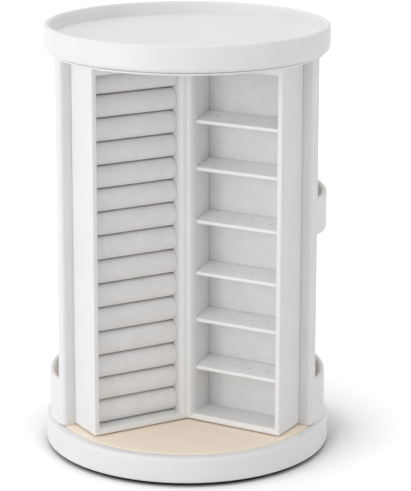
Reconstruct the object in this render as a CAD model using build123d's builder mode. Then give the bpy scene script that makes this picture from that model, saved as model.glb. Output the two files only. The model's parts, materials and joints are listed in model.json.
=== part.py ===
from build123d import *
import math
import os

# A rotating jewelry box. A round base turns on a hidden foot, and a three-way core of
# leather-wrapped boards stands on it. The front vee holds a ring case on the left and an
# earring case on the right. The two rear vees have bins behind curved fences and pegs for
# necklaces. A round tray lies on top.
# Millimetres, +Z up, the floor at zero, the turning axis on Z, the front vee opens to -Y.

# Base disc: the pad in its top stands a little proud of the ring around it
base_radius = 110.0
base_height = 19.9
base_gap = 3.0
base_top_round = 3.2
base_low_round = 1.0
base_wall = 14.0
pad_border = 6.5
pad_thickness = 1.2
pad_proud = 0.5
pad_edge_round = 0.4

# Foot and its rubber pads
foot_setback = 8.0
foot_thickness = 4.0
foot_bore_radius = 30.0
foot_edge_round = 1.0
rubber_height = 2.2
rubber_radius = 8.0
rubber_ring_radius = 74.0
rubber_count = 5

# Ring bearing between foot and base
bearing_height = 9.8
bearing_split = 1.4
ball_ring_radius = 56.0
ball_radius = 3.0
ball_count = 12
ball_clearance = 0.05
race_inner_radius = 42.0
race_outer_radius = 64.0
race_flange = 3.0
race_flange_thickness = 2.4
keeper_clearance = 0.6
keeper_wall = 1.8
keeper_lip = 0.9
cage_width = 8.8
cage_thickness = 0.8
cage_pocket_clearance = 0.2

# Screws and dowels
screw_radius = 1.5
screw_head_radius = 2.9
screw_sink_angle = 82.0
screw_clearance = 0.1
race_screw_ring_radius = 47.0
race_screw_count = 4
foot_screw_bite = 3.0
deck_screw_bite = 5.0
core_screw_bite = 14.0
core_screw_along = 66.0
post_screw_setback = 6.0
dowel_radius = 2.5
dowel_length = 16.0
dowel_bite = 8.0
dowel_along = 40.0
dowel_clearance = 0.1

# Front vee: the open faces of the two cases meet at this angle, this far before the axis
vee_angle = 120.0
corner_setback = 27.5

# Cases
case_width = 80.0
case_depth = 33.5
case_height = 283.0
case_wall = 4.2
case_sill = 6.0
case_lintel = 6.6
case_back = 4.0
case_mouth_round = 1.2
case_vee_round = 3.0
case_corner_round = 0.9
seat_gap = 0.2

# Ring rolls: they stand on the floor of their case, and the last one fills what is left
roll_pitch = 18.15
roll_recess = 6.2
roll_crown = 6.0
roll_gap = 0.35

# Earring shelves
lining_thickness = 2.8
shelf_thickness = 3.2
shelf_recess = 6.2
shelf_tilt = 11.0
shelf_edge_round = 1.2
shelf_hole_radius = 0.8
shelf_hole_pitch = 14.8
shelf_hole_count = 4
shelf_hole_setback = 10.0
# Heights of the shelves' front edges, as shares of the inside of the case
shelf_height_shares = (0.124, 0.265, 0.402, 0.552, 0.704, 0.838)

# Boards and post of the core
board_thickness = 8.0
board_overhang = 9.2
board_front_round = 3.2
board_rear_round = 0.6
post_gap = 0.3

# Bins in the rear vees: their outline runs out flush with the ends of the boards
bin_inset = 3.1
bin_flush_round = 60.0
bin_wall = 4.1
bin_rim_round = 1.2
low_bin_height = 35.4
high_bin_height = 28.7
high_bin_floor = 3.0
high_bin_rise = 149.0
bin_pad_thickness = 1.2
bin_pad_gap = 0.3

# Necklace pegs: each leans up from its board and ends in a ball
peg_radius = 1.3
peg_length = 10.0
peg_ball_radius = 2.2
peg_lean = 20.0
peg_root = 3.0
peg_clearance = 0.1
peg_count = 4
peg_pitch = 16.0
peg_drop = 18.0
peg_row_middle = 46.0

# Tray and the thin disc under it
disc_inset = 5.5
disc_thickness = 1.2
disc_edge_round = 0.4
tray_radius = 108.0
tray_height = 21.7
tray_wall = 4.7
tray_floor = 10.9
tray_low_round = 4.5
tray_rim_round = 2.2
tray_inner_round = 0.8

# Heights from the floor
foot_top = rubber_height + foot_thickness
deck_low = foot_top + bearing_height
base_ring_top = base_gap + base_height
base_top = base_ring_top + pad_proud
deck_thickness = base_top - deck_low
case_top = base_top + case_height
disc_top = case_top + disc_thickness
high_bin_low = base_top + high_bin_rise

# Bearing sizes that follow
race_thickness = (bearing_height - bearing_split) / 2
race_low_top = foot_top + race_thickness
race_high_low = deck_low - race_thickness
ball_height = (race_low_top + race_high_low) / 2
groove_radius = ball_radius + ball_clearance
race_neck_radius = race_outer_radius - race_flange
flange_low = race_low_top - race_flange_thickness
keeper_inner_radius = race_outer_radius + keeper_clearance
keeper_outer_radius = keeper_inner_radius + keeper_wall
keeper_lip_radius = race_neck_radius + keeper_clearance
keeper_lip_top = flange_low - keeper_clearance
keeper_low = keeper_lip_top - keeper_lip

# Round sizes that follow
well_radius = base_radius - base_wall
foot_radius = well_radius - foot_setback
pad_radius = base_radius - pad_border
bin_outer_radius = base_radius - bin_inset
disc_radius = tray_radius - disc_inset

# Plan sizes that follow
arm_slope = 90.0 - vee_angle / 2
arm_cos = math.cos(math.radians(arm_slope))
arm_sin = math.sin(math.radians(arm_slope))
arm_tan = arm_sin / arm_cos
board_back = case_depth + board_thickness
board_middle = case_depth + board_thickness / 2
board_end = case_width + board_overhang
end_plane = board_end + corner_setback * arm_sin
half_back_board = board_thickness / 2
back_board_reach = math.sqrt(bin_outer_radius**2 - half_back_board**2)
rear_corner = board_back / arm_cos - corner_setback
bin_corner = rear_corner - half_back_board * arm_tan
board_corner = half_back_board * arm_cos - (bin_corner + corner_setback) * arm_sin
case_inner_width = case_width - 2 * case_wall
case_inner_depth = case_depth - case_back
case_inner_height = case_height - case_sill - case_lintel
case_floor = base_top + case_sill
shelf_end = case_inner_depth - lining_thickness - seat_gap
roll_count = math.ceil(case_inner_height / roll_pitch)
wedge_reach = 2 * base_radius
screw_hole_radius = screw_radius + screw_clearance
screw_sink_radius = screw_head_radius + screw_clearance
facing_down = (180, 0, 0)


def vee_frame(side, height):
    """Axes of one front arm: x along the open face of its case, y into the case.

    side is 1 on the right, where x runs up from zero, and -1 on the left, where it runs down.
    """
    return Plane(
        origin=(0, -corner_setback, height),
        x_dir=(arm_cos, -side * arm_sin, 0),
        z_dir=(0, 0, 1),
    )


def board_point(side, along):
    """Plan point on the middle line of a front board, this far out from the vee's corner."""
    return vee_frame(side, 0).from_local_coords((side * along, board_middle, 0))


def core_points(along, middle_setback):
    """Plan points of the four fastenings: two front boards, the back board and the post."""
    right = board_point(1, along)
    left = board_point(-1, along)
    return {
        "right": (right.X, right.Y),
        "left": (left.X, left.Y),
        "back": (0, rear_corner + along),
        "post": (0, -middle_setback),
    }


def write(piece, name):
    """Labels a finished piece and writes it to its own file."""
    piece.part.label = name
    export_step(piece.part, f"parts/{name}.step")


def countersunk_screw(reach):
    """A screw with its flat head at the origin, pointing down."""
    sink = (screw_head_radius - screw_radius) / math.tan(math.radians(screw_sink_angle / 2))
    with BuildPart() as screw:
        with BuildSketch(Plane.XZ):
            with BuildLine():
                Polyline(
                    (0, 0),
                    (screw_head_radius, 0),
                    (screw_radius, -sink),
                    (screw_radius, -reach),
                    (0, -reach),
                    close=True,
                )
            make_face()
        revolve(axis=Axis.Z)
    return screw


core_screw_points = core_points(core_screw_along, post_screw_setback)
dowel_points = core_points(dowel_along, post_screw_setback)
os.makedirs("parts", exist_ok=True)


# Foot plate and rubber feet

with BuildPart() as foot_plate:
    with BuildSketch(Plane.XY.offset(rubber_height)):
        Circle(foot_radius)
        Circle(foot_bore_radius, mode=Mode.SUBTRACT)
    extrude(amount=foot_thickness)
    rims = foot_plate.edges().filter_by(GeomType.CIRCLE).sort_by(SortBy.RADIUS)[-2:]
    fillet(rims, foot_edge_round)
    with BuildSketch(Plane.XY.offset(foot_top)):
        with PolarLocations(race_screw_ring_radius, race_screw_count):
            Circle(screw_hole_radius)
    extrude(amount=-foot_screw_bite - screw_clearance, mode=Mode.SUBTRACT)
write(foot_plate, "foot_plate")

with BuildPart() as rubber_feet:
    with BuildSketch():
        with PolarLocations(rubber_ring_radius, rubber_count):
            Circle(rubber_radius)
    extrude(amount=rubber_height)
write(rubber_feet, "rubber_feet")


# Ring bearing

with BuildPart() as lower_race:
    with BuildSketch(Plane.XZ):
        with BuildLine():
            Polyline(
                (race_inner_radius, foot_top),
                (race_neck_radius, foot_top),
                (race_neck_radius, flange_low),
                (race_outer_radius, flange_low),
                (race_outer_radius, race_low_top),
                (race_inner_radius, race_low_top),
                close=True,
            )
        make_face()
        with Locations((ball_ring_radius, ball_height)):
            Circle(groove_radius, mode=Mode.SUBTRACT)
    revolve(axis=Axis.Z)
    with Locations((0, 0, race_low_top)):
        with PolarLocations(race_screw_ring_radius, race_screw_count):
            CounterSinkHole(
                screw_hole_radius,
                screw_sink_radius,
                depth=race_thickness,
                counter_sink_angle=screw_sink_angle,
            )
write(lower_race, "lower_race")

with BuildPart() as upper_race:
    with BuildSketch(Plane.XZ):
        with BuildLine():
            Polyline(
                (race_inner_radius, deck_low),
                (keeper_outer_radius, deck_low),
                (keeper_outer_radius, keeper_low),
                (keeper_lip_radius, keeper_low),
                (keeper_lip_radius, keeper_lip_top),
                (keeper_inner_radius, keeper_lip_top),
                (keeper_inner_radius, race_high_low),
                (race_inner_radius, race_high_low),
                close=True,
            )
        make_face()
        with Locations((ball_ring_radius, ball_height)):
            Circle(groove_radius, mode=Mode.SUBTRACT)
    revolve(axis=Axis.Z)
    with Locations(Location((0, 0, race_high_low), facing_down)):
        with PolarLocations(race_screw_ring_radius, race_screw_count):
            CounterSinkHole(
                screw_hole_radius,
                screw_sink_radius,
                depth=race_thickness,
                counter_sink_angle=screw_sink_angle,
            )
write(upper_race, "upper_race")

with BuildPart() as bearing_balls:
    with Locations((0, 0, ball_height)):
        with PolarLocations(ball_ring_radius, ball_count):
            Sphere(ball_radius)
write(bearing_balls, "bearing_balls")

with BuildPart() as ball_cage:
    with BuildSketch(Plane.XY.offset(ball_height - cage_thickness / 2)):
        Circle(ball_ring_radius + cage_width / 2)
        Circle(ball_ring_radius - cage_width / 2, mode=Mode.SUBTRACT)
        with PolarLocations(ball_ring_radius, ball_count):
            Circle(ball_radius + cage_pocket_clearance, mode=Mode.SUBTRACT)
    extrude(amount=cage_thickness)
write(ball_cage, "ball_cage")

foot_screw = countersunk_screw(race_thickness + foot_screw_bite)
with BuildPart() as lower_race_screws:
    with Locations((0, 0, race_low_top)):
        with PolarLocations(race_screw_ring_radius, race_screw_count):
            add(foot_screw.part)
write(lower_race_screws, "lower_race_screws")

deck_screw = countersunk_screw(race_thickness + deck_screw_bite)
with BuildPart() as upper_race_screws:
    with Locations(Location((0, 0, race_high_low), facing_down)):
        with PolarLocations(race_screw_ring_radius, race_screw_count):
            add(deck_screw.part)
write(upper_race_screws, "upper_race_screws")


# Base disc with its bearing well, and the pad let into its top

with BuildPart() as base_disc:
    with BuildSketch(Plane.XY.offset(base_gap)):
        Circle(base_radius)
    extrude(amount=base_height)
    fillet(base_disc.edges().group_by(Axis.Z)[-1], base_top_round)
    fillet(base_disc.edges().group_by(Axis.Z)[0], base_low_round)
    with BuildSketch(Plane.XY.offset(base_gap)):
        Circle(well_radius)
    extrude(amount=deck_low - base_gap, mode=Mode.SUBTRACT)
    with BuildSketch(Plane.XY.offset(base_top - pad_thickness)):
        Circle(pad_radius + seat_gap)
    extrude(amount=pad_thickness, mode=Mode.SUBTRACT)
    with BuildSketch(Plane.XY.offset(deck_low)):
        with PolarLocations(race_screw_ring_radius, race_screw_count):
            Circle(screw_hole_radius)
    extrude(amount=deck_screw_bite + screw_clearance, mode=Mode.SUBTRACT)
    with Locations(*[Location((x, y, deck_low), facing_down) for x, y in core_screw_points.values()]):
        CounterSinkHole(
            screw_hole_radius,
            screw_sink_radius,
            depth=deck_thickness,
            counter_sink_angle=screw_sink_angle,
        )
write(base_disc, "base_disc")

with BuildPart() as base_pad:
    with BuildSketch(Plane.XY.offset(base_top)):
        Circle(pad_radius)
        with Locations(*core_screw_points.values()):
            Circle(screw_hole_radius, mode=Mode.SUBTRACT)
    extrude(amount=-pad_thickness)
    pad_rim = base_pad.edges().group_by(Axis.Z)[-1].sort_by(SortBy.RADIUS)[-1]
    fillet(pad_rim, pad_edge_round)
write(base_pad, "base_pad")

core_screw = countersunk_screw(deck_thickness + core_screw_bite)
with BuildPart() as core_screws:
    with Locations(*[Location((x, y, deck_low), facing_down) for x, y in core_screw_points.values()]):
        add(core_screw.part)
write(core_screws, "core_screws")


# Necklace pegs, in rows across the faces of the rear vees


def board_row(side, height):
    """Middle of a row on the rear face of a front board, looking into the rear vee."""
    frame = vee_frame(side, height)
    along = side * (board_corner + peg_row_middle)
    return Plane(
        origin=frame.from_local_coords((along, board_back, 0)),
        x_dir=frame.z_dir.cross(frame.y_dir),
        z_dir=frame.y_dir,
    )


def back_row(side, height):
    """Middle of a row on one face of the back board, looking into the rear vee."""
    return Plane(
        origin=(side * half_back_board, bin_corner + peg_row_middle, height),
        x_dir=(0, side, 0),
        z_dir=(side, 0, 0),
    )


def peg_row(rows, radius, length, tip_radius):
    """Leaning pegs on every row, or with no tip, the holes that they sit in."""
    with BuildPart() as pegs:
        with Locations(*rows):
            with GridLocations(peg_pitch, 0, peg_count, 1):
                with Locations(Location((0, 0, 0), (-peg_lean, 0, 0))):
                    with Locations((0, 0, -peg_root)):
                        Cylinder(
                            radius,
                            length + peg_root,
                            align=(Align.CENTER, Align.CENTER, Align.MIN),
                        )
                    if tip_radius > 0:
                        with Locations((0, 0, length)):
                            Sphere(tip_radius)
    return pegs


high_row = case_top - peg_drop
low_row = high_bin_low - peg_drop
peg_rows = {
    "left_board_pegs": [board_row(-1, high_row)],
    "right_board_pegs": [board_row(1, high_row), board_row(1, low_row)],
    "back_board_left_pegs": [back_row(-1, high_row)],
    "back_board_right_pegs": [back_row(1, high_row), back_row(1, low_row)],
}
peg_holes = {}
for name, rows in peg_rows.items():
    write(peg_row(rows, peg_radius, peg_length, peg_ball_radius), name)
    peg_holes[name] = peg_row(rows, peg_radius + peg_clearance, peg_length, 0)


# Core: two front boards, a back board and the post between the cases


def drill_ends(place):
    """Screw hole in the lower end and dowel hole in the upper end of a core piece."""
    with Locations((*core_screw_points[place], base_top)):
        Cylinder(
            screw_hole_radius,
            core_screw_bite + screw_clearance,
            align=(Align.CENTER, Align.CENTER, Align.MIN),
            mode=Mode.SUBTRACT,
        )
    with Locations((*dowel_points[place], case_top)):
        Cylinder(
            dowel_radius + dowel_clearance,
            dowel_bite + dowel_clearance,
            align=(Align.CENTER, Align.CENTER, Align.MAX),
            mode=Mode.SUBTRACT,
        )


def front_board(side, place):
    """A front board, mitred against its twin on the middle plane of the box."""
    with BuildPart() as board:
        with BuildSketch(vee_frame(side, base_top)):
            with BuildLine():
                Polyline(
                    (side * board_end, case_depth),
                    (side * board_end, board_back),
                    (-side * board_back * arm_tan, board_back),
                    (-side * case_depth * arm_tan, case_depth),
                    close=True,
                )
            make_face()
        extrude(amount=case_height)
        uprights = board.edges().filter_by(Axis.Z).sort_by_distance((0, 0, case_top))
        fillet(uprights[-1], board_rear_round)
        uprights = board.edges().filter_by(Axis.Z).sort_by(Axis.Y)
        fillet(uprights[0], board_front_round)
        drill_ends(place)
        add(peg_holes[f"{place}_board_pegs"].part, mode=Mode.SUBTRACT)
    return board


left_board = front_board(-1, "left")
write(left_board, "left_board")

right_board = front_board(1, "right")
write(right_board, "right_board")

with BuildPart() as back_board:
    with BuildSketch(Plane.XY.offset(base_top)):
        with BuildLine():
            Polyline(
                (0, rear_corner),
                (half_back_board, bin_corner),
                (half_back_board, back_board_reach),
                (-half_back_board, back_board_reach),
                (-half_back_board, bin_corner),
                close=True,
            )
        make_face()
    extrude(amount=case_height)
    back_uprights = back_board.edges().filter_by(Axis.Z).sort_by(Axis.Y)
    fillet(back_uprights[-2:], board_rear_round)
    drill_ends("back")
    add(peg_holes["back_board_left_pegs"].part, mode=Mode.SUBTRACT)
    add(peg_holes["back_board_right_pegs"].part, mode=Mode.SUBTRACT)
write(back_board, "back_board")

case_corner = vee_frame(1, 0).from_local_coords((0, case_depth, 0))
with BuildPart() as core_post:
    with BuildSketch(Plane.XY.offset(base_top)):
        with BuildLine():
            Polyline(
                (0, -corner_setback),
                (case_corner.X, case_corner.Y),
                (0, case_depth / arm_cos - corner_setback),
                (-case_corner.X, case_corner.Y),
                close=True,
            )
        make_face()
        offset(amount=-post_gap)
    extrude(amount=case_height)
    drill_ends("post")
write(core_post, "core_post")


# Cases


def open_case(side):
    """A case open towards the front vee, with its mouth and outer corners rounded."""
    frame = vee_frame(side, base_top)
    middle = side * case_width / 2
    with BuildPart() as case:
        with BuildSketch(frame):
            with Locations((middle, case_depth / 2)):
                Rectangle(case_width, case_depth)
        extrude(amount=case_height)
        uprights = case.edges().filter_by(Axis.Z).sort_by_distance((0, 0, case_top))
        fillet(uprights[-2:], case_corner_round)
        with BuildSketch(frame.offset(case_sill)):
            with Locations((middle, case_inner_depth / 2)):
                Rectangle(case_inner_width, case_inner_depth)
        extrude(amount=case_inner_height, mode=Mode.SUBTRACT)
        mouth = case.faces().sort_by(Axis(frame.origin, frame.y_dir))[0].inner_wires()[0].edges()
        by_vee = mouth.filter_by(Axis.Z).sort_by_distance((0, 0, case_top))[0]
        fillet(by_vee, case_vee_round)
        mouth = case.faces().sort_by(Axis(frame.origin, frame.y_dir))[0].inner_wires()[0].edges()
        by_vee = mouth.filter_by(Axis.Z).sort_by_distance((0, 0, case_top))[0]
        fillet([edge for edge in mouth if edge != by_vee], case_mouth_round)
    return case


ring_case = open_case(-1)
write(ring_case, "ring_case")

earring_case = open_case(1)
write(earring_case, "earring_case")


# Ring rolls, one on the other from the floor of the ring case

ring_frame = vee_frame(-1, case_floor)
roll_back = case_inner_depth - seat_gap
for index in range(roll_count):
    roll_low = index * roll_pitch + roll_gap / 2
    roll_high = min((index + 1) * roll_pitch, case_inner_height) - roll_gap / 2
    roll_half = (roll_high - roll_low) / 2
    roll_nose = roll_recess + roll_crown
    roll_start = (-case_width + case_wall + seat_gap, 0, roll_low + roll_half)
    roll_plane = Plane(
        origin=ring_frame.from_local_coords(roll_start),
        x_dir=ring_frame.y_dir,
        z_dir=ring_frame.x_dir,
    )
    with BuildPart() as ring_roll:
        with BuildSketch(roll_plane):
            with BuildLine():
                EllipticalCenterArc(
                    (roll_nose, 0),
                    roll_crown,
                    roll_half,
                    start_angle=90,
                    arc_size=180,
                )
                Polyline(
                    (roll_nose, -roll_half),
                    (roll_back, -roll_half),
                    (roll_back, roll_half),
                    (roll_nose, roll_half),
                )
            make_face()
        extrude(amount=case_inner_width - 2 * seat_gap)
    write(ring_roll, f"ring_roll_{index + 1:02d}")


# Back lining and tilted shelves of the earring case

earring_frame = vee_frame(1, case_floor)
with BuildPart() as earring_lining:
    with BuildSketch(earring_frame):
        with Locations((case_width / 2, case_inner_depth - lining_thickness / 2)):
            Rectangle(case_inner_width - 2 * seat_gap, lining_thickness)
    extrude(amount=case_inner_height - seat_gap)
write(earring_lining, "earring_lining")

tilt = math.radians(shelf_tilt)
shelf_normal = earring_frame.z_dir * math.cos(tilt) - earring_frame.y_dir * math.sin(tilt)
shelf_length = case_inner_width - 2 * seat_gap
shelf_depth = (shelf_end - shelf_recess) / math.cos(tilt)
for index, share in enumerate(shelf_height_shares):
    shelf_front = (case_width / 2, shelf_recess, share * case_inner_height)
    shelf_plane = Plane(
        origin=earring_frame.from_local_coords(shelf_front),
        x_dir=earring_frame.x_dir,
        z_dir=shelf_normal,
    )
    with BuildPart() as earring_shelf:
        with BuildSketch(shelf_plane):
            with Locations((0, shelf_depth / 2)):
                Rectangle(shelf_length, shelf_depth)
            with Locations((0, shelf_hole_setback)):
                with GridLocations(shelf_hole_pitch, 0, shelf_hole_count, 1):
                    Circle(shelf_hole_radius, mode=Mode.SUBTRACT)
        extrude(amount=shelf_thickness)
        front_face = earring_shelf.faces().sort_by(Axis(shelf_plane.origin, shelf_plane.y_dir))[0]
        long_edges = front_face.edges().filter_by(Axis(shelf_plane.origin, shelf_plane.x_dir))
        fillet(long_edges, shelf_edge_round)
    write(earring_shelf, f"earring_shelf_{index + 1}")


# Bins


def rear_wedge(side):
    """Outline of a rear vee: between a front board and the back board."""
    Polyline(
        (side * half_back_board, bin_corner),
        (side * (half_back_board + wedge_reach * arm_cos), bin_corner - wedge_reach * arm_sin),
        (side * wedge_reach, wedge_reach),
        (side * half_back_board, wedge_reach),
        close=True,
    )


flush_middle = end_plane - wedge_reach / 2
with BuildSketch() as bin_outline:
    Circle(bin_outer_radius)
    for side in (-1, 1):
        with Locations((side * flush_middle * arm_cos, -flush_middle * arm_sin)):
            Rectangle(wedge_reach, wedge_reach, rotation=-side * arm_slope, mode=Mode.INTERSECT)
    fillet(bin_outline.vertices(), bin_flush_round)

with BuildSketch() as bin_inside:
    add(bin_outline.sketch)
    offset(amount=-bin_wall)


def bin_fence(side):
    """A curved fence on the base, from a front board to the back board, let over the pad."""
    with BuildPart() as fence:
        with BuildSketch(Plane.XY.offset(base_ring_top)):
            add(bin_outline.sketch)
            add(bin_inside.sketch, mode=Mode.SUBTRACT)
        extrude(amount=low_bin_height + pad_proud)
        fillet(fence.edges().group_by(Axis.Z)[-1], bin_rim_round)
        with BuildSketch(Plane.XY.offset(base_ring_top)):
            Circle(pad_radius + seat_gap)
        extrude(amount=pad_proud, mode=Mode.SUBTRACT)
        with BuildSketch(Plane.XY.offset(base_ring_top)):
            with BuildLine():
                rear_wedge(side)
            make_face()
        extrude(amount=low_bin_height + pad_proud, mode=Mode.INTERSECT)
    return fence


left_bin_fence = bin_fence(-1)
write(left_bin_fence, "left_bin_fence")

right_bin_fence = bin_fence(1)
write(right_bin_fence, "right_bin_fence")

with BuildPart() as high_bin:
    with BuildSketch(Plane.XY.offset(high_bin_low)):
        add(bin_outline.sketch)
    extrude(amount=high_bin_height)
    with BuildSketch(Plane.XY.offset(high_bin_low + high_bin_floor)):
        add(bin_inside.sketch)
    extrude(amount=high_bin_height, mode=Mode.SUBTRACT)
    fillet(high_bin.edges().group_by(Axis.Z)[-1], bin_rim_round)
    fillet(high_bin.edges().group_by(Axis.Z)[0], bin_rim_round)
    with BuildSketch(Plane.XY.offset(high_bin_low)):
        with BuildLine():
            rear_wedge(1)
        make_face()
    extrude(amount=high_bin_height, mode=Mode.INTERSECT)
write(high_bin, "high_bin")

with BuildPart() as high_bin_pad:
    with BuildSketch(Plane.XY.offset(high_bin_low + high_bin_floor)):
        add(bin_inside.sketch)
        with BuildLine():
            rear_wedge(1)
        make_face(mode=Mode.INTERSECT)
        offset(amount=-bin_pad_gap)
    extrude(amount=bin_pad_thickness)
write(high_bin_pad, "high_bin_pad")


# Top: thin disc, tray and the dowels that hold them

with BuildPart() as top_disc:
    with BuildSketch(Plane.XY.offset(case_top)):
        Circle(disc_radius)
        with Locations(*dowel_points.values()):
            Circle(dowel_radius + dowel_clearance, mode=Mode.SUBTRACT)
    extrude(amount=disc_thickness)
    disc_rims = top_disc.edges().filter_by(GeomType.CIRCLE).sort_by(SortBy.RADIUS)[-2:]
    fillet(disc_rims, disc_edge_round)
write(top_disc, "top_disc")

with BuildPart() as tray:
    with BuildSketch(Plane.XY.offset(disc_top)):
        Circle(tray_radius)
    extrude(amount=tray_height)
    fillet(tray.edges().group_by(Axis.Z)[0], tray_low_round)
    with BuildSketch(Plane.XY.offset(disc_top + tray_floor)):
        Circle(tray_radius - tray_wall)
    extrude(amount=tray_height, mode=Mode.SUBTRACT)
    fillet(tray.edges().group_by(Axis.Z)[-1], tray_rim_round)
    inner_low = [
        edge
        for edge in tray.edges().filter_by(GeomType.CIRCLE)
        if abs(edge.center().Z - disc_top - tray_floor) < tray_rim_round / 2
    ]
    fillet(inner_low, tray_inner_round)
    with BuildSketch(Plane.XY.offset(disc_top)):
        with Locations(*dowel_points.values()):
            Circle(dowel_radius + dowel_clearance)
    extrude(
        amount=dowel_length - dowel_bite - disc_thickness + dowel_clearance,
        mode=Mode.SUBTRACT,
    )
write(tray, "tray")

with BuildPart() as dowels:
    with BuildSketch(Plane.XY.offset(case_top - dowel_bite)):
        with Locations(*dowel_points.values()):
            Circle(dowel_radius)
    extrude(amount=dowel_length)
write(dowels, "dowels")
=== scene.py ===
"""Dresses the rotating jewelry box: leather, velvet, metal, studio light and the camera."""

import json
import math

import bmesh
import bpy
from mathutils import Matrix, Vector, noise


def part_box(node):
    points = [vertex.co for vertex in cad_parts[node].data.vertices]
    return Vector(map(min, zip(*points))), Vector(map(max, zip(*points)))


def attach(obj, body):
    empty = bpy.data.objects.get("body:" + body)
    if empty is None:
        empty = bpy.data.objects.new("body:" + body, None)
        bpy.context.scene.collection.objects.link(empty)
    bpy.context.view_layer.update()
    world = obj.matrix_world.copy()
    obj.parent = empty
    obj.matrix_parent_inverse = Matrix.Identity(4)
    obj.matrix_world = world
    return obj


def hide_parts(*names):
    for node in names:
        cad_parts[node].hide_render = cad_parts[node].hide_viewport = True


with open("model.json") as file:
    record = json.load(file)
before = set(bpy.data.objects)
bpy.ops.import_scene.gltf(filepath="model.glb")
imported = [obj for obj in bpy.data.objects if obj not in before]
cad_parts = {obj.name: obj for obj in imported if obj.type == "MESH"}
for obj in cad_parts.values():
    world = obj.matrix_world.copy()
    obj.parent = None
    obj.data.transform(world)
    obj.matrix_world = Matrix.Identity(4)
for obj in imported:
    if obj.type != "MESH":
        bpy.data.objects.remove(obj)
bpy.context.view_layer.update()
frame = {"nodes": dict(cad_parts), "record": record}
MM = 0.001

# The photograph, and the camera that fits the round base, the tray and the upright edges
photo_width = 411
photo_height = 491
focal_px = 2075.6
centre_x_px = 187.05
centre_y_px = 176.0
camera_distance = 1.5437
camera_height = 0.5772
camera_pitch = 13.38
sensor_width_mm = 36.0

# Plan of the front vee, as in the solids
vee_angle = 120.0
corner_setback = 27.5 * MM
case_width = 80.0 * MM
case_depth = 33.5 * MM
case_wall = 4.2 * MM
case_sill = 6.0 * MM
case_lintel = 6.6 * MM
case_back = 4.0 * MM
board_thickness = 8.0 * MM
board_overhang = 9.2 * MM

# Rounding of wrapped edges
fine_edge = 0.45 * MM
case_edge = 0.9 * MM
case_foot_edge = 1.3 * MM
case_rear_edge = 1.7 * MM
mouth_edge = 1.2 * MM
corner_mouth_edge = 4.1 * MM
corner_mouth_depth = 8.0 * MM
board_front_round = 3.2 * MM
board_rear_round = 0.6 * MM

# Plinth under each case, and what the ring case's wall by the vee has over the solid's
plinth_height = 0.9 * MM
plinth_setback = 3.2 * MM
corner_wall_extra = 0.9 * MM

# Ring rolls, and how far the slit over each lies above its even place
roll_pitch = 18.15 * MM
roll_recess = 6.2 * MM
roll_crown = 7.6 * MM
roll_squareness = 2.05
roll_gap = 0.75 * MM
roll_end_gap = 0.05 * MM
roll_end_round = 0.35 * MM
roll_wave = 0.18 * MM
roll_wave_length = 26.0 * MM
roll_wave_step = 7.3
roll_around = 56
roll_along = 28
slit_rises_mm = [0.1, -0.4, -0.8, -0.4, 0.3, 0.7, 1.0, 1.5, 1.7, 1.4, 0.8, 0.5, 0.3, -0.3]

# Base and pad
well_radius = 96.0 * MM
base_top_round = 3.2 * MM
base_low_round = 2.4 * MM
pad_radius = 101.2 * MM
pad_edge = 0.8 * MM
pad_groove = 0.5 * MM

# Tray
tray_wall = 4.7 * MM
tray_floor = 10.9 * MM
tray_low_round = 3.8 * MM
tray_rim_round = 2.2 * MM
tray_inner_round = 0.8 * MM

# Disc under the tray: its top and its rim's underside lie above the solid's, and it reaches out
# further; a slot parts it from the tray
disc_rise = 1.2 * MM
disc_lift = 1.2 * MM
disc_reach = 1.6 * MM
disc_rim_width = 4.2 * MM
disc_edge = 0.3 * MM
disc_slot = 0.45 * MM
disc_slot_depth = 3.0 * MM

# Bins: their outlines are turned past both boards of a rear vee, in degrees, and then cut
bin_sweep = 160.0
bin_sweep_starts = {-1: 70.0, 1: -50.0}
bin_wall = 4.1 * MM
bin_rim_round = 1.9 * MM
bin_blend = 2.2 * MM
bin_floor = 3.0 * MM
bin_lap = 0.7 * MM
bin_setback = 0.03 * MM
bin_pad_gap = 0.3 * MM
bin_pad_thickness = 1.2 * MM

# Necklace pegs
peg_radius = 1.3 * MM
peg_length = 10.0 * MM
peg_ball_radius = 2.2 * MM
peg_collar_radius = 2.3 * MM
peg_collar_height = 0.7 * MM
peg_taper_share = 0.85
peg_collar_share = 0.86
peg_lean = 20.0
peg_count = 4
peg_pitch = 16.0 * MM
peg_drop = 18.0 * MM
peg_row_middle = 46.0 * MM
peg_around = 28
peg_stem_around = 24
peg_ball_up = 18

# Bearing balls
ball_count = 12
ball_play = 0.06 * MM
ball_around = 32
ball_up = 20

# Lamps: name, place, width and power. They all look at one point
lamp_target = (0, 0, 0.17)
lamps = [
    ("key", (-1.9, -0.75, 0.75), 1.1, 9.6),
    ("front", (-1.6, -1.5, 0.4), 1.1, 10.2),
    ("fill", (1.9, -1.2, 0.45), 1.4, 6.6),
    ("top", (-0.2, 0.6, 1.9), 1.4, 7.0),
    ("top_front", (0, -0.75, 1.9), 1.4, 5.2),
]
surround_light = 0.55

# Floor: its own tone, and the tones that the camera sees of it, by the millimetres from a middle
# point: a painted shadow by the foot, softer painted shades to the right and left, and a lift to
# white far off
floor_half_size = 6.0
floor_tone = 0.85
contact_tones = [
    (0.0, 0.03),
    (104.0, 0.06),
    (106.5, 0.5),
    (110.0, 1.02),
    (121.0, 1.2),
    (135.0, 1.21),
    (180.0, 1.3),
    (260.0, 1.42),
]
right_shade = [(0.0, 0.66), (58.0, 0.68), (66.0, 0.78), (75.0, 0.88), (85.0, 0.95), (110.0, 1.0)]
left_shade = [(0.0, 0.84), (58.0, 0.86), (66.0, 0.88), (75.0, 0.92), (86.0, 0.95), (130.0, 1.0)]
far_lift = [(0.0, 1.0), (260.0, 1.0), (2500.0, 1.6)]
floor_tones_seen = [
    ((0, 0, 0), contact_tones),
    ((0.06, 0.02, 0), right_shade),
    ((-0.06, 0.02, 0), left_shade),
    ((0, 0, 0), far_lift),
]

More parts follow.
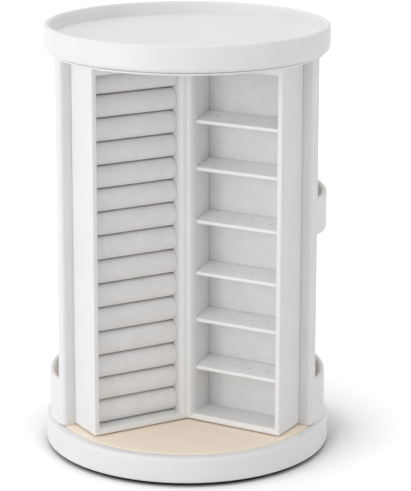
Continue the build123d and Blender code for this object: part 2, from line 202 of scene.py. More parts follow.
# Steps of round forms, and angles in degrees past which an edge stays sharp
turn_steps = 192
least_turn_steps = 8
round_steps = 8
rim_steps = 3
soften_steps = 4
corner_mouth_steps = 8
edge_angle = 32.0
peg_angle = 40.0
soft_angle = 60.0

# Distances within which points count as one, and cosines that tell a direction
near = 0.1 * MM
weld = 0.001 * MM
sliver = 0.0005 * MM
cut_snap = 0.0001 * MM
facing_down = -0.9
beside_board = 0.5

# Most of a noise lies between these values
noise_low = 0.3
noise_high = 0.7

# Sockets of a Mix node that mixes colours
mix_first = 6
mix_second = 7
mix_result = 2

# The sides of the box, and its upright axis
hands = {-1: "left", 1: "right"}
up = Vector((0, 0, 1))

# Places that follow from the frame and the values above
arm_slope = math.radians(90.0 - vee_angle / 2)
arm_cos = math.cos(arm_slope)
arm_sin = math.sin(arm_slope)
arm_tan = math.tan(arm_slope)
board_back = case_depth + board_thickness
board_end = case_width + board_overhang
half_back_board = board_thickness / 2
rear_corner = board_back / arm_cos - corner_setback
bin_corner = rear_corner - half_back_board * arm_tan
board_corner = half_back_board * arm_cos - (bin_corner + corner_setback) * arm_sin
end_plane = board_end + corner_setback * arm_sin
base_low, base_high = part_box("base_disc")
pad_low, pad_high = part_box("base_pad")
core_low, core_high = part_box("back_board")
tray_low, tray_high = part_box("tray")
disc_low, disc_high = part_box("top_disc")
fence_low, fence_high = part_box("right_bin_fence")
high_bin_low, high_bin_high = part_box("high_bin")
deck_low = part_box("upper_race")[1].z
board_top = tray_low.z + disc_rise + disc_slot
high_bin_floor = high_bin_low.z + bin_floor


# Materials


def grey(tone):
    """A neutral colour."""
    return (tone, tone, tone)


def shade_of(colour, share):
    """The same colour, lighter or darker by a share."""
    return tuple(min(1.0, channel * share) for channel in colour)


def new_material(name):
    """A material, its nodes and links, its Principled shader and the place on the piece."""
    material = bpy.data.materials.new(name)
    material.use_nodes = True
    nodes = material.node_tree.nodes
    place = nodes.new("ShaderNodeTexCoord").outputs["Object"]
    return material, nodes, material.node_tree.links, nodes["Principled BSDF"], place


def texture(nodes, links, kind, place, **settings):
    """A texture node at a place, with its inputs set by name."""
    node = nodes.new(kind)
    for name, value in settings.items():
        node.inputs[name.replace("_", " ").title()].default_value = value
    links.new(place, node.inputs["Vector"])
    return node


def colour_ramp(nodes, links, value, stops):
    """The colour that a value picks between the given positions and their colours."""
    ramp = nodes.new("ShaderNodeValToRGB")
    elements = ramp.color_ramp.elements
    while len(elements) < len(stops):
        elements.new(0.5)
    for element, (position, colour) in zip(elements, stops):
        element.position = position
        element.color = (*colour, 1)
    links.new(value, ramp.inputs["Fac"])
    return ramp.outputs["Color"]


def two_tone(nodes, links, value, dark, light):
    """The colour that a noise moves from a dark one to a light one."""
    return colour_ramp(nodes, links, value, [(noise_low, dark), (noise_high, light)])


def multiplied(nodes, links, first, second):
    """The product of two colours."""
    mix = nodes.new("ShaderNodeMix")
    mix.data_type = "RGBA"
    mix.blend_type = "MULTIPLY"
    mix.inputs["Factor"].default_value = 1.0
    links.new(first, mix.inputs[mix_first])
    links.new(second, mix.inputs[mix_second])
    return mix.outputs[mix_result]


def between(nodes, links, value, low, high):
    """A value of 0 to 1, spread from low to high."""
    spread = nodes.new("ShaderNodeMapRange")
    spread.inputs["To Min"].default_value = low
    spread.inputs["To Max"].default_value = high
    links.new(value, spread.inputs["Value"])
    return spread.outputs["Result"]


def bump_chain(nodes, links, shader, layers):
    """Bump nodes one on the other: each layer is a height socket, a strength and a depth."""
    below = None
    for height, strength, depth in layers:
        bump = nodes.new("ShaderNodeBump")
        bump.inputs["Strength"].default_value = strength
        bump.inputs["Distance"].default_value = depth
        links.new(height, bump.inputs["Height"])
        if below:
            links.new(below.outputs["Normal"], bump.inputs["Normal"])
        below = bump
    links.new(below.outputs["Normal"], shader.inputs["Normal"])


def leather(name, colour, roughness, grain_size=0.9 * MM):
    """Fine-grained artificial leather: pebbled grain with painted shade in the hollows between
    pebbles, slight clouding, satin gloss.
    """
    cloud_scale = 28.0
    cloud_shares = (0.975, 1.01)
    cloud_strength = 0.12
    cloud_depth = 1.5 * MM
    painted_crease_shade = (0.95, 0.945, 0.94)
    pebble_strength = 0.3
    pebble_depth = 0.12 * MM
    pore_scale = 0.35 / grain_size
    pore_strength = 0.24
    pore_depth = 0.08 * MM
    smoothest = roughness - 0.06
    roughest = roughness + 0.08
    material, nodes, links, shader, place = new_material(name)
    pebbles = texture(
        nodes, links, "ShaderNodeTexVoronoi", place, scale=1 / grain_size, randomness=1.0
    )
    pebbles.feature = "SMOOTH_F1"
    pores = texture(nodes, links, "ShaderNodeTexNoise", place, scale=pore_scale, detail=4.0)
    clouds = texture(nodes, links, "ShaderNodeTexNoise", place, scale=cloud_scale, detail=3.0)
    dark, light = (shade_of(colour, share) for share in cloud_shares)
    clouding = two_tone(nodes, links, clouds.outputs["Fac"], dark, light)
    # The grain is coloured darker toward the edges of each pebble: painted shade
    crease_shading = colour_ramp(
        nodes, links, pebbles.outputs["Distance"], [(0.0, grey(1.0)), (1.0, painted_crease_shade)]
    )
    links.new(multiplied(nodes, links, clouding, crease_shading), shader.inputs["Base Color"])
    gloss = between(nodes, links, pores.outputs["Fac"], smoothest, roughest)
    links.new(gloss, shader.inputs["Roughness"])
    shader.inputs["Specular IOR Level"].default_value = 0.4
    bump_chain(
        nodes,
        links,
        shader,
        [
            (clouds.outputs["Fac"], cloud_strength, cloud_depth),
            (pebbles.outputs["Distance"], pebble_strength, pebble_depth),
            (pores.outputs["Fac"], pore_strength, pore_depth),
        ],
    )
    return material


def velvet(name, colour, pile=0.28 * MM):
    """Short-pile velvet: soft sheen, fine fuzz with painted shade in it, and patches of painted
    sheen.
    """
    patch_scale = 95.0
    patch_strength = 0.25
    patch_depth = 0.3 * MM
    dark_patch = shade_of(colour, 0.96)
    light_patch = shade_of(colour, 1.03)
    fuzz_shade_tone = 0.9
    fuzz_strength = 0.5
    fuzz_depth = 0.1 * MM
    material, nodes, links, shader, place = new_material(name)
    fuzz = texture(nodes, links, "ShaderNodeTexNoise", place, scale=1 / pile, detail=2.0)
    patches = texture(
        nodes, links, "ShaderNodeTexNoise", place, scale=patch_scale, detail=5.0, distortion=0.6
    )
    # Patches lighter and darker as the nap lies: painted sheen
    nap_sheen = colour_ramp(
        nodes,
        links,
        patches.outputs["Fac"],
        [(0.3, dark_patch), (0.55, colour), (0.75, light_patch)],
    )
    # Fine dark flecks in the fuzz: painted shade between the fibres
    painted_fuzz_shade = colour_ramp(
        nodes, links, fuzz.outputs["Fac"], [(0.35, grey(fuzz_shade_tone)), (0.65, grey(1.0))]
    )
    links.new(multiplied(nodes, links, nap_sheen, painted_fuzz_shade), shader.inputs["Base Color"])
    shader.inputs["Roughness"].default_value = 0.95
    shader.inputs["Specular IOR Level"].default_value = 0.15
    shader.inputs["Sheen Weight"].default_value = 0.35
    shader.inputs["Sheen Roughness"].default_value = 0.45
    bump_chain(
        nodes,
        links,
        shader,
        [
            (patches.outputs["Fac"], patch_strength, patch_depth),
            (fuzz.outputs["Fac"], fuzz_strength, fuzz_depth),
        ],
    )
    return material


def moulded(name, colour, roughness, texture_depth=0.02 * MM):
    """Moulded plastic or rubber with a faint surface texture."""
    fine_scale = 1500.0
    fine_strength = 0.4
    broad_scale = 60.0
    broad_shares = (0.97, 1.02)
    smoothest = roughness - 0.04
    roughest = roughness + 0.06
    material, nodes, links, shader, place = new_material(name)
    fine = texture(nodes, links, "ShaderNodeTexNoise", place, scale=fine_scale, detail=2.0)
    broad = texture(nodes, links, "ShaderNodeTexNoise", place, scale=broad_scale, detail=3.0)
    dark, light = (shade_of(colour, share) for share in broad_shares)
    tint = two_tone(nodes, links, broad.outputs["Fac"], dark, light)
    links.new(tint, shader.inputs["Base Color"])
    gloss = between(nodes, links, broad.outputs["Fac"], smoothest, roughest)
    links.new(gloss, shader.inputs["Roughness"])
    bump_chain(nodes, links, shader, [(fine.outputs["Fac"], fine_strength, texture_depth)])
    return material


def metal(name, colour, roughness):
    """Polished or plated metal with fine turning marks."""
    mark_scale = 900.0
    mark_share = 0.93
    mark_strength = 0.1
    mark_depth = 0.02 * MM
    smoothest = roughness - 0.05
    roughest = roughness + 0.08
    material, nodes, links, shader, place = new_material(name)
    marks = texture(nodes, links, "ShaderNodeTexNoise", place, scale=mark_scale, detail=2.0)
    tint = two_tone(nodes, links, marks.outputs["Fac"], shade_of(colour, mark_share), colour)
    links.new(tint, shader.inputs["Base Color"])
    gloss = between(nodes, links, marks.outputs["Fac"], smoothest, roughest)
    links.new(gloss, shader.inputs["Roughness"])
    shader.inputs["Metallic"].default_value = 1.0
    bump_chain(nodes, links, shader, [(marks.outputs["Fac"], mark_strength, mark_depth)])
    return material


def beech_wood(name):
    """Plain turned beech with grain along the upright."""
    grain_scale = 900.0
    grain_stretch = (1.0, 1.0, 0.08)
    grain_strength = 0.2
    grain_depth = 0.05 * MM
    dark_grain = (0.42, 0.27, 0.14)
    light_grain = (0.62, 0.44, 0.26)
    material, nodes, links, shader, place = new_material(name)
    stretch = nodes.new("ShaderNodeMapping")
    stretch.inputs["Scale"].default_value = grain_stretch
    links.new(place, stretch.inputs["Vector"])
    stretched = stretch.outputs["Vector"]
    grain = texture(nodes, links, "ShaderNodeTexNoise", stretched, scale=grain_scale, detail=4.0)
    tint = two_tone(nodes, links, grain.outputs["Fac"], dark_grain, light_grain)
    links.new(tint, shader.inputs["Base Color"])
    shader.inputs["Roughness"].default_value = 0.6
    bump_chain(nodes, links, shader, [(grain.outputs["Fac"], grain_strength, grain_depth)])
    return material


finishes = {
    "white_leather": leather("white_leather", (0.826, 0.826, 0.826), roughness=0.46),
    "cream_leather": leather(
        "cream_leather", (0.985, 0.862, 0.718), roughness=0.55, grain_size=0.7 * MM
    ),
    "grey_velvet": velvet("grey_velvet", (0.84, 0.825, 0.815)),
    "grey_lining": velvet("grey_lining", (0.80, 0.798, 0.797), pile=0.2 * MM),
    "white_shelf": moulded("white_shelf", (0.84, 0.84, 0.845), roughness=0.35),
    "black_plastic": moulded("black_plastic", (0.02, 0.02, 0.021), roughness=0.5),
    "rubber": moulded("rubber", (0.016, 0.016, 0.016), roughness=0.75, texture_depth=0.05 * MM),
    "nylon": moulded("nylon", (0.72, 0.69, 0.6), roughness=0.45),
    "steel": metal("steel", (0.62, 0.62, 0.63), roughness=0.25),
    "brass": metal("brass", (0.83, 0.62, 0.30), roughness=0.2),
    "beech": beech_wood("beech"),
}


def dress_solids():
    """Gives every CAD node the finish that its material slot names."""
    for part in frame["record"]["subparts"]:
        solid = frame["nodes"][part["node"]]
        for slot in solid.material_slots:
            slot.material = finishes[part["material_slot"]]


# Making pieces


def finished(name, bm, slot, body, replaced=(), smooth_angle=edge_angle, weighted=False):
    """Turns a bmesh into a piece that rides on a body and stands for its CAD nodes."""
    mesh = bpy.data.meshes.new(name)
    bm.to_mesh(mesh)
    bm.free()
    mesh.materials.append(finishes[slot])
    mesh.shade_smooth()
    mesh.set_sharp_from_angle(angle=math.radians(smooth_angle))
    piece = bpy.data.objects.new(name, mesh)
    bpy.context.scene.collection.objects.link(piece)
    if weighted:
        normals = piece.modifiers.new("even_flats", "WEIGHTED_NORMAL")
        normals.keep_sharp = True
    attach(piece, body)
    if replaced:
        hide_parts(*replaced)
    return piece


def rounded_outline(bm, corners, closed):
    """An outline through the corners, each rounded by its own radius; returns its edges.

    A corner is a point and the radius of its rounding.
    """
    verts = [bm.verts.new(point) for point, _ in corners]
    pairs = list(zip(verts, verts[1:] + verts[:1])) if closed else list(zip(verts, verts[1:]))
    for start, end in pairs:
        bm.edges.new((start, end))
    for vert, (_, radius) in zip(verts, corners):
        if radius > 0:
            bmesh.ops.bevel(
                bm,
                geom=[vert],
                offset=radius,
                offset_type="OFFSET",
                segments=round_steps,
                profile=0.5,
                affect="VERTICES",
                material=-1,
            )
    return bm.edges[:]


def turned(corners, closed=False, angle=math.tau, start=0.0):
    """A shape turned round the upright axis from an outline of (radius, height, rounding)."""
    bm = bmesh.new()
    outline = [(Vector((radius, 0, height)), rounding) for radius, height, rounding in corners]
    edges = rounded_outline(bm, outline, closed)
    full = angle >= math.tau
    if start:
        bmesh.ops.rotate(bm, verts=bm.verts, cent=(0, 0, 0), matrix=Matrix.Rotation(start, 3, "Z"))
    bmesh.ops.spin(
        bm,
        geom=bm.verts[:] + edges,
        cent=(0, 0, 0),
        axis=(0, 0, 1),
        angle=angle,
        steps=max(least_turn_steps, round(turn_steps * angle / math.tau)),
        use_merge=full,
    )
    bmesh.ops.remove_doubles(bm, verts=bm.verts, dist=weld)
    bmesh.ops.dissolve_degenerate(bm, edges=bm.edges, dist=sliver)
    bmesh.ops.recalc_face_normals(bm, faces=bm.faces)
    return bm


def upright(corners, low, high, edge_round):
    """A plan outline of (x, y, rounding) raised from low to high, its rims rounded."""
    bm = bmesh.new()
    outline = [(Vector((x, y, low)), rounding) for x, y, rounding in corners]
    edges = rounded_outline(bm, outline, closed=True)
    bmesh.ops.contextual_create(bm, geom=edges)
    raised = bmesh.ops.extrude_face_region(bm, geom=bm.faces[:])
    tops = [item for item in raised["geom"] if isinstance(item, bmesh.types.BMVert)]
    bmesh.ops.translate(bm, verts=tops, vec=(0, 0, high - low))
    bmesh.ops.recalc_face_normals(bm, faces=bm.faces)
    if edge_round > 0:
        rims = [edge for edge in bm.edges if at(edge.verts[0].co.z, edge.verts[1].co.z)]
        soften(bm, rims, edge_round, rim_steps)
    return bm


def soften(bm, edges, radius, segments=soften_steps):
    """Rounds the given edges."""
    bmesh.ops.bevel(
        bm,
        geom=list(edges),
        offset=radius,
        offset_type="OFFSET",
        segments=segments,
        profile=0.5,
        affect="EDGES",
        clamp_overlap=True,
        material=-1,
    )


def push(bm, face, way):
    """Moves a face by a vector and grows walls behind it."""
    grown = bmesh.ops.extrude_face_region(bm, geom=[face])
    verts = [item for item in grown["geom"] if isinstance(item, bmesh.types.BMVert)]
    bmesh.ops.delete(bm, geom=[face], context="FACES_ONLY")
    bmesh.ops.translate(bm, verts=verts, vec=way)
    bmesh.ops.recalc_face_normals(bm, faces=bm.faces)


def at(value, place):
    """Whether two coordinates count as one."""
    return abs(value - place) < near


def edges_where(bm, test):
    """The edges whose two ends both pass a test on their place."""
    return [edge for edge in bm.edges if all(test(vert.co) for vert in edge.verts)]


def axes_matrix(x_axis, y_axis, z_axis, origin):
    """From a piece's own axes and origin to the box."""
    turn = Matrix((x_axis, y_axis, z_axis)).transposed().to_4x4()
    turn.translation = origin
    return turn


def arm_matrix(side, height=0.0):
    """From a front arm's own axes to the box: x along the open face, y into the case."""
    along = Vector((arm_cos, -side * arm_sin, 0))
    inward = Vector((side * arm_sin, arm_cos, 0))
    return axes_matrix(along, inward, up, Vector((0, -corner_setback, height)))


# Base, pad and bearing balls


def base_piece():
    """The round base, with a well for the bearing below and a groove round the pad above."""
    seat = pad_radius + pad_groove
    low = base_low.z
    high = base_high.z
    bm = turned(
        [
            (0, pad_low.z, 0),
            (seat, pad_low.z, 0),
            (seat, high, fine_edge),
            (base_high.x, high, base_top_round),
            (base_high.x, low, base_low_round),
            (well_radius, low, fine_edge),
            (well_radius, deck_low, 0),
            (0, deck_low, 0),
        ]
    )
    return finished("wrapped_base", bm, "white_leather", "carousel", ["base_disc"])


def pad_piece():
    """The cream pad that the core stands on, its edge rounded over."""
    bm = turned(
        [
            (0, pad_high.z, 0),
            (pad_radius, pad_high.z, pad_edge),
            (pad_radius, pad_low.z, 0),
            (0, pad_low.z, 0),
        ]
    )
    return finished("cream_pad", bm, "cream_leather", "carousel", ["base_pad"])


def balls_piece():
    """The bearing's polished balls, a hair small so that their facets clear the races."""
    low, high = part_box("bearing_balls")
    radius = (high.z - low.z) / 2
    bm = bmesh.new()
    for index in range(ball_count):
        turn = Matrix.Rotation(math.tau * index / ball_count, 4, "Z")
        place = turn @ Matrix.Translation((high.x - radius, 0, low.z + radius))
        bmesh.ops.create_uvsphere(
            bm,
            u_segments=ball_around,
            v_segments=ball_up,
            radius=radius - ball_play,
            matrix=place,
        )
    replaced = ["bearing_balls"]
    return finished("steel_balls", bm, "steel", "ball_ring", replaced, smooth_angle=soft_angle)


# Core boards


def front_board_piece(side, name, node):
    """A wrapped front board, mitred against its twin."""
    bm = upright(
        [
            (side * board_end, case_depth, board_front_round),
            (side * board_end, board_back, board_rear_round),
            (-side * board_back * arm_tan, board_back, 0),
            (-side * case_depth * arm_tan, case_depth, 0),
        ],
        core_low.z,
        board_top,
        fine_edge,
    )
    bmesh.ops.transform(bm, matrix=arm_matrix(side), verts=bm.verts)
    return finished(name, bm, "white_leather", "carousel", [node], weighted=True)


def back_board_piece():
    """The wrapped back board."""
    reach = core_high.y
    bm = upright(
        [
            (half_back_board, reach, board_rear_round),
            (-half_back_board, reach, board_rear_round),
            (-half_back_board, bin_corner, 0),
            (0, rear_corner, 0),
            (half_back_board, bin_corner, 0),
        ],
        core_low.z,
        board_top,
        fine_edge,
    )
    replaced = ["back_board"]
    return finished("wrapped_back_board", bm, "white_leather", "carousel", replaced, weighted=True)


# Cases


def add_plinth(bm):
    """Lets the raised underside down to the pad on a set-back plinth."""
    bm.normal_update()
    undersides = [face for face in bm.faces if face.normal.z < facing_down]
    widest = max(undersides, key=lambda face: face.calc_area())
    bmesh.ops.inset_region(bm, faces=[widest], thickness=plinth_setback, use_even_offset=True)
    push(bm, widest, (0, 0, -plinth_height))


def open_case(side, height, wall_extra):
    """A case with sharp edges: a box above its plinth, hollowed from the front."""
    bm = bmesh.new()
    size = Matrix.Diagonal((case_width, case_depth, height - plinth_height, 1))
    middle = (side * case_width / 2, case_depth / 2, (height + plinth_height) / 2)
    bmesh.ops.create_cube(bm, size=1.0, matrix=Matrix.Translation(middle) @ size)
    front = min(bm.faces, key=lambda face: face.calc_center_median().y)
    bmesh.ops.inset_region(bm, faces=[front], thickness=case_wall, use_even_offset=True)
    for vert in front.verts:
        low = vert.co.z < height / 2
        vert.co.z += (case_sill - case_wall - plinth_height) if low else (case_wall - case_lintel)
        if abs(vert.co.x) < case_width / 2:
            vert.co.x += side * wall_extra
    push(bm, front, (0, case_depth - case_back, 0))
    return bm


def case_piece(side, name, node, wall_extra=0.0, edge_depth=corner_mouth_edge):
    """A wrapped case, open to the front, with soft mouth and outer edges.

    The wall by the vee's corner can be thicker, and its edge rounded deeper into the case.
    """
    height = core_high.z - core_low.z
    far = side * case_width
    corner_wall = case_wall + wall_extra
    bm = open_case(side, height, wall_extra)
    rear = edges_where(bm, lambda point: at(point.x, far) and at(point.y, case_depth))
    soften(bm, rear, case_rear_edge)
    foot = edges_where(bm, lambda point: at(point.z, plinth_height))
    hidden = edges_where(bm, lambda point: at(point.x, 0) or at(point.y, case_depth))
    soften(bm, [edge for edge in foot if edge not in hidden], case_foot_edge)
    front = edges_where(bm, lambda point: at(point.x, far) and at(point.y, 0))
    soften(bm, front, case_edge)
    by_corner = edges_where(bm, lambda point: at(point.x, side * corner_wall) and at(point.y, 0))
    soften(bm, by_corner, corner_mouth_edge, corner_mouth_steps)
    for vert in bm.verts:
        if abs(vert.co.x) < corner_wall + near and near < vert.co.y < corner_mouth_edge + near:
            vert.co.y *= edge_depth / corner_mouth_edge
    mouth = edges_where(
        bm,
        lambda point: at(point.y, 0)
        and case_wall - near < abs(point.x) < case_width - case_wall + near
        and case_sill - near < point.z < height - case_lintel + near,
    )
    soften(bm, mouth, mouth_edge)
    add_plinth(bm)
    bmesh.ops.transform(bm, matrix=arm_matrix(side, core_low.z), verts=bm.verts)
    return finished(name, bm, "white_leather", "carousel", [node], weighted=True)


# Ring rolls


def roll_section(half, nose, back):
    """The outline of a roll's section: crowned in front, drawn out to its back."""
    bm = bmesh.new()
    bmesh.ops.create_circle(bm, segments=roll_around, radius=1, cap_ends=False)
    stand = Matrix.Rotation(math.radians(90), 4, "Y")
    bmesh.ops.transform(bm, matrix=stand, verts=bm.verts)
    for vert in bm.verts:
        reach = abs(vert.co.y) ** (2 / roll_squareness)
        vert.co.z = math.copysign(abs(vert.co.z) ** (2 / roll_squareness) * half, vert.co.z)
        vert.co.y = -reach * roll_crown if vert.co.y < 0 else reach * (back - nose)
    return bm


def roll_piece(index, low, high):
    """One soft roll: half round in front, flat behind, rounded off at both ends."""
    half = (high - low) / 2 - roll_gap / 2
    length = case_width - 2 * case_wall - corner_wall_extra - 2 * roll_end_gap
    start = -case_width + case_wall + roll_end_gap
    back = case_depth - case_back - roll_end_gap
    nose = roll_recess + roll_crown
    bm = roll_section(half, nose, back)
    bmesh.ops.translate(bm, verts=bm.verts, vec=(start, nose, (low + high) / 2))
    bmesh.ops.spin(
        bm,
        geom=bm.verts[:] + bm.edges[:],
        cent=(0, 0, 0),
        axis=(1, 0, 0),
        dvec=(length / roll_along, 0, 0),
        angle=0,
        steps=roll_along,
        use_merge=False,
    )
    bmesh.ops.remove_doubles(bm, verts=bm.verts, dist=weld)
    bmesh.ops.holes_fill(bm, edges=bm.edges, sides=0)
    bmesh.ops.recalc_face_normals(bm, faces=bm.faces)
    ends = [face for face in bm.faces if len(face.verts) > 4]
    soften(bm, [edge for face in ends for edge in face.edges], roll_end_round)
    for vert in bm.verts:
        place = vert.co / roll_wave_length + Vector((0, 0, index * roll_wave_step))
        if vert.co.y < nose:
            vert.co.y -= noise.noise(place) * roll_wave
    bmesh.ops.transform(bm, matrix=arm_matrix(-1), verts=bm.verts)
    number = f"{index + 1:02d}"
    roll = finished(
        f"velvet_roll_{number}",
        bm,
        "grey_velvet",
        "carousel",
        [f"ring_roll_{number}"],
        smooth_angle=soft_angle,
    )
    return roll


def roll_pieces():
    """All the rolls, from the floor of the ring case up."""
    floor = core_low.z + case_sill
    ceiling = core_high.z - case_lintel
    count = math.ceil((ceiling - floor) / roll_pitch)
    slits = [
        floor + (index + 1) * roll_pitch + rise * MM for index, rise in enumerate(slit_rises_mm)
    ]
    bounds = [floor, *slits[: count - 1], ceiling]
    for index, (low, high) in enumerate(zip(bounds, bounds[1:])):
        roll_piece(index, low, high)


# Bins


def cut_to_rear_vee(bm, side, clearance):
    """Keeps what lies between a front board and the back board, and closes the cut ends."""
    corner = Vector((side * half_back_board, bin_corner, 0))
    board_normal = Vector((side * arm_sin, arm_cos, 0))
    for point, normal in (
        (corner + board_normal * clearance, board_normal),
        (corner + Vector((side * clearance, 0, 0)), Vector((side, 0, 0))),
    ):
        bmesh.ops.bisect_plane(
            bm,
            geom=bm.verts[:] + bm.edges[:] + bm.faces[:],
            dist=cut_snap,
            plane_co=point,
            plane_no=normal,
            clear_inner=True,
        )
        bmesh.ops.holes_fill(bm, edges=bm.edges, sides=0)
    bmesh.ops.recalc_face_normals(bm, faces=bm.faces)
    return bm


def draw_in_to_board(bm, side, radius):
    """Draws a bin's curve in near its front board, so that it runs out flush with the board."""
    along = Vector((side * arm_cos, -arm_sin, 0))
    for vert in bm.verts:
        out = Vector((vert.co.x, vert.co.y, 0))
        if out.length == 0 or out.normalized().dot(along) < beside_board:
            continue
        flat = (end_plane - bin_setback) / out.normalized().dot(along)
        # The lesser of the two reaches, blended where they are alike
        overlap = max(bin_blend - abs(flat - radius), 0) / bin_blend
        wanted = min(flat, radius) - overlap * overlap * bin_blend / 4
        vert.co.x *= wanted / radius
        vert.co.y *= wanted / radius


def rear_vee_shape(corners, side, outer, clearance):
    """An outline turned over a rear vee, drawn in to its front board and cut to the vee."""
    sweep = math.radians(bin_sweep)
    start = math.radians(bin_sweep_starts[side])
    bm = turned(corners, closed=True, angle=sweep, start=start)
    draw_in_to_board(bm, side, outer)
    return cut_to_rear_vee(bm, side, clearance)


def bin_fence_piece(side, name, node):
    """A curved fence on the base, with a soft rim."""
    outer = fence_high.x
    inner = outer - bin_wall
    corners = [
        (inner, fence_low.z, fine_edge),
        (outer, fence_low.z, fine_edge),
        (outer, fence_high.z, bin_rim_round),
        (inner, fence_high.z, bin_rim_round),
    ]
    bm = rear_vee_shape(corners, side, outer, -bin_lap)
    return finished(name, bm, "white_leather", "carousel", [node], weighted=True)


def high_bin_piece():
    """The bin halfway up the right rear vee: a floor and a curved fence in one."""
    outer = high_bin_high.x
    inner = outer - bin_wall
    corners = [
        (0, high_bin_low.z, 0),
        (outer, high_bin_low.z, bin_rim_round),
        (outer, high_bin_high.z, bin_rim_round),
        (inner, high_bin_high.z, bin_rim_round),
        (inner, high_bin_floor, fine_edge),
        (0, high_bin_floor, 0),
    ]
    bm = rear_vee_shape(corners, 1, outer, -bin_lap)
    replaced = ["high_bin"]
    return finished("wrapped_high_bin", bm, "white_leather", "carousel", replaced, weighted=True)


def high_bin_pad_piece():
    """The cream pad on the floor of the high bin."""
    radius = high_bin_high.x - bin_wall - bin_pad_gap
    top = high_bin_floor + bin_pad_thickness
    corners = [
        (0, high_bin_floor, 0),
        (radius, high_bin_floor, 0),
        (radius, top, fine_edge),
        (0, top, 0),
    ]
    bm = rear_vee_shape(corners, 1, high_bin_high.x, bin_pad_gap)
    return finished("cream_bin_pad", bm, "cream_leather", "carousel", ["high_bin_pad"])


# Necklace pegs


def board_row(side, height):
    """Middle of a peg row on the rear face of a front board: x across, y up, z outwards."""
    normal = Vector((side * arm_sin, arm_cos, 0))
    middle = Vector((side * (board_corner + peg_row_middle), board_back, 0))
    return axes_matrix(up.cross(normal), up, normal, arm_matrix(side, height) @ middle)


def back_row(side, height):
    """Middle of a peg row on one face of the back board."""
    middle = Vector((side * half_back_board, bin_corner + peg_row_middle, height))
    return axes_matrix(Vector((0, side, 0)), up, Vector((side, 0, 0)), middle)


def add_stem(bm, radius, taper_share, height, around, place):
    """Adds a closed stem on a place, which tapers to a share of its radius."""
    bmesh.ops.create_cone(
        bm,
        cap_ends=True,
        segments=around,
        radius1=radius,
        radius2=radius * taper_share,
        depth=height,
        matrix=place @ Matrix.Translation((0, 0, height / 2)),
    )


def peg_piece(name, node, rows):
    """Rows of turned pegs, each with a collar, a stem and a ball end, leaning up."""
    bm = bmesh.new()
    lean = Matrix.Rotation(math.radians(-peg_lean), 4, "X")
    for row in rows:
        for index in range(peg_count):
            across = (index - (peg_count - 1) / 2) * peg_pitch
            root = row @ Matrix.Translation((across, 0, 0))
            stem = root @ lean
            add_stem(
                bm, peg_collar_radius, peg_collar_share, peg_collar_height, peg_around, root
            )
            add_stem(bm, peg_radius, peg_taper_share, peg_length, peg_stem_around, stem)
            bmesh.ops.create_uvsphere(
                bm,
                u_segments=peg_around,
                v_segments=peg_ball_up,
                radius=peg_ball_radius,
                matrix=stem @ Matrix.Translation((0, 0, peg_length)),
            )
    return finished(name, bm, "brass", "carousel", [node], smooth_angle=peg_angle)


def peg_pieces():
    """The pegs of every board: a row under the tray, and on the right one under the high bin."""
    high_row = core_high.z - peg_drop
    low_row = high_bin_low.z - peg_drop
    heights = {-1: [high_row], 1: [high_row, low_row]}
    for side, hand in hands.items():
        rows = [board_row(side, height) for height in heights[side]]
        peg_piece(f"{hand}_board_brass_pegs", f"{hand}_board_pegs", rows)
    for side, hand in hands.items():
        rows = [back_row(side, height) for height in heights[side]]
        peg_piece(f"back_{hand}_brass_pegs", f"back_board_{hand}_pegs", rows)


# Tray and top disc


def tray_piece():
    """The round tray: a floor, a raised rim and a deeply rounded lower edge."""
    outer = tray_high.x
    inner = outer - tray_wall
    floor = tray_low.z + tray_floor
    low = tray_low.z + disc_rise
    slot = disc_high.x + disc_reach - disc_slot_depth
    bm = turned(
        [
            (0, low, 0),
            (slot, low, 0),
            (slot, low + disc_slot, 0),
            (outer, low + disc_slot, tray_low_round),
            (outer, tray_high.z, tray_rim_round),
            (inner, tray_high.z, tray_rim_round),
            (inner, floor, tray_inner_round),
            (0, floor, 0),
        ]
    )
    return finished("wrapped_tray", bm, "white_leather", "carousel", ["tray"])


def top_disc_piece():
    """The thin wrapped disc that shows as a line under the tray."""
    reach = disc_high.x + disc_reach
    high = disc_high.z + disc_rise
    rim_low = disc_low.z + disc_lift
    rim = reach - disc_rim_width
    bm = turned(
        [
            (0, disc_low.z, 0),
            (rim, disc_low.z, 0),
            (rim, rim_low, 0),
            (reach, rim_low, disc_edge),
            (reach, high, disc_edge),
            (0, high, 0),
        ]
    )
    return finished("wrapped_top_disc", bm, "white_leather", "carousel", ["top_disc"])


# Studio


def seen_by_camera(nodes, links):
    """1 for what the camera sees, straight or by way of a shiny or clear surface, else 0."""
    path = nodes.new("ShaderNodeLightPath")
    seen = path.outputs["Is Camera Ray"]
    for name in ("Is Glossy Ray", "Is Transmission Ray"):
        either = nodes.new("ShaderNodeMath")
        either.operation = "MAXIMUM"
        links.new(seen, either.inputs[0])
        links.new(path.outputs[name], either.inputs[1])
        seen = either.outputs["Value"]
    return seen


def surround():
    """A world that the camera sees as white, and that lights the box less than that."""
    world = bpy.data.worlds.new("surround")
    bpy.context.scene.world = world
    world.use_nodes = True
    nodes, links = world.node_tree.nodes, world.node_tree.links
    nodes.clear()
    strength = between(nodes, links, seen_by_camera(nodes, links), surround_light, 1.0)
    background = nodes.new("ShaderNodeBackground")
    background.inputs["Color"].default_value = (*grey(1.0), 1)
    links.new(strength, background.inputs["Strength"])
    output = nodes.new("ShaderNodeOutputWorld")
    links.new(background.outputs["Background"], output.inputs["Surface"])


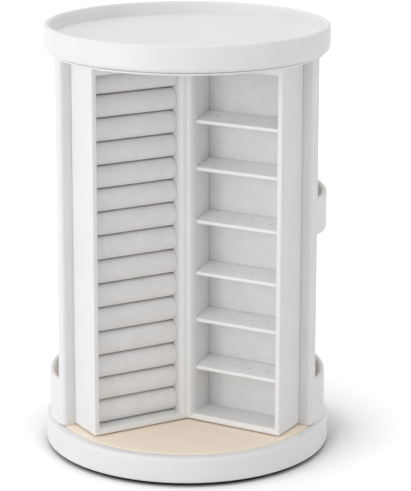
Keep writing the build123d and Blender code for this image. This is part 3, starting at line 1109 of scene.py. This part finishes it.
def tone_by_distance(nodes, links, middle, tones):
    """A grey tone by the distance from a middle point, from pairs of millimetres and tone."""
    distance = nodes.new("ShaderNodeVectorMath")
    distance.operation = "DISTANCE"
    distance.inputs[1].default_value = middle
    links.new(nodes.new("ShaderNodeTexCoord").outputs["Object"], distance.inputs[0])
    farthest, brightest = tones[-1]
    share = nodes.new("ShaderNodeMapRange")
    share.inputs["From Max"].default_value = farthest * MM
    links.new(distance.outputs["Value"], share.inputs["Value"])
    stops = [(reach / farthest, grey(tone / brightest)) for reach, tone in tones]
    scaled = nodes.new("ShaderNodeVectorMath")
    scaled.operation = "SCALE"
    scaled.inputs["Scale"].default_value = brightest
    links.new(colour_ramp(nodes, links, share.outputs["Result"], stops), scaled.inputs[0])
    return scaled.outputs["Vector"]


def floor_material():
    """White floor: what the camera sees of it has a painted soft shadow and fades to white."""
    material = bpy.data.materials.new("floor")
    material.use_nodes = True
    nodes, links = material.node_tree.nodes, material.node_tree.links
    nodes.clear()
    seen_tone = None
    for middle, tones in floor_tones_seen:
        share = tone_by_distance(nodes, links, middle, tones)
        if seen_tone:
            product = nodes.new("ShaderNodeVectorMath")
            product.operation = "MULTIPLY"
            links.new(seen_tone, product.inputs[0])
            links.new(share, product.inputs[1])
            share = product.outputs["Vector"]
        seen_tone = share
    tone = nodes.new("ShaderNodeMix")
    tone.data_type = "RGBA"
    tone.inputs[mix_first].default_value = (*grey(floor_tone), 1)
    links.new(seen_by_camera(nodes, links), tone.inputs["Factor"])
    links.new(seen_tone, tone.inputs[mix_second])
    matte = nodes.new("ShaderNodeBsdfDiffuse")
    links.new(tone.outputs[mix_result], matte.inputs["Color"])
    output = nodes.new("ShaderNodeOutputMaterial")
    links.new(matte.outputs["BSDF"], output.inputs["Surface"])
    return material


def studio_floor():
    """The floor that the box stands on."""
    bm = bmesh.new()
    bmesh.ops.create_grid(bm, x_segments=1, y_segments=1, size=floor_half_size)
    mesh = bpy.data.meshes.new("floor")
    bm.to_mesh(mesh)
    bm.free()
    mesh.materials.append(floor_material())
    floor = bpy.data.objects.new("floor", mesh)
    bpy.context.scene.collection.objects.link(floor)


def lamp(name, place, size, power):
    """A square softbox that looks at the middle of the box."""
    light = bpy.data.lights.new(name, "AREA")
    light.shape = "SQUARE"
    light.size = size
    light.energy = power
    holder = bpy.data.objects.new(name, light)
    holder.location = place
    aim = Vector(lamp_target) - Vector(place)
    holder.rotation_euler = aim.to_track_quat("-Z", "Y").to_euler()
    bpy.context.scene.collection.objects.link(holder)


def studio():
    """Pale floor, white surround and the softboxes."""
    bpy.context.scene.view_settings.view_transform = "Standard"
    surround()
    studio_floor()
    for name, place, size, power in lamps:
        lamp(name, place, size, power)


def photo_camera():
    """The camera at the photograph's place, with the shift that its framing needs."""
    data = bpy.data.cameras.new("photo_camera")
    data.sensor_width = sensor_width_mm
    data.lens = focal_px * sensor_width_mm / photo_height
    data.shift_x = (photo_width / 2 - centre_x_px) / photo_height
    data.shift_y = (centre_y_px - photo_height / 2) / photo_height
    camera = bpy.data.objects.new("photo_camera", data)
    camera.location = (0, -camera_distance, camera_height)
    camera.rotation_euler = (math.radians(90 - camera_pitch), 0, 0)
    bpy.context.scene.collection.objects.link(camera)
    bpy.context.scene.camera = camera


photo_camera()
studio()
dress_solids()
base_piece()
pad_piece()
balls_piece()
for side, hand in hands.items():
    front_board_piece(side, f"wrapped_{hand}_board", f"{hand}_board")
back_board_piece()
case_piece(-1, "wrapped_ring_case", "ring_case", wall_extra=corner_wall_extra)
case_piece(1, "wrapped_earring_case", "earring_case", edge_depth=corner_mouth_depth)
roll_pieces()
for side, hand in hands.items():
    bin_fence_piece(side, f"wrapped_{hand}_fence", f"{hand}_bin_fence")
high_bin_piece()
high_bin_pad_piece()
peg_pieces()
tray_piece()
top_disc_piece()
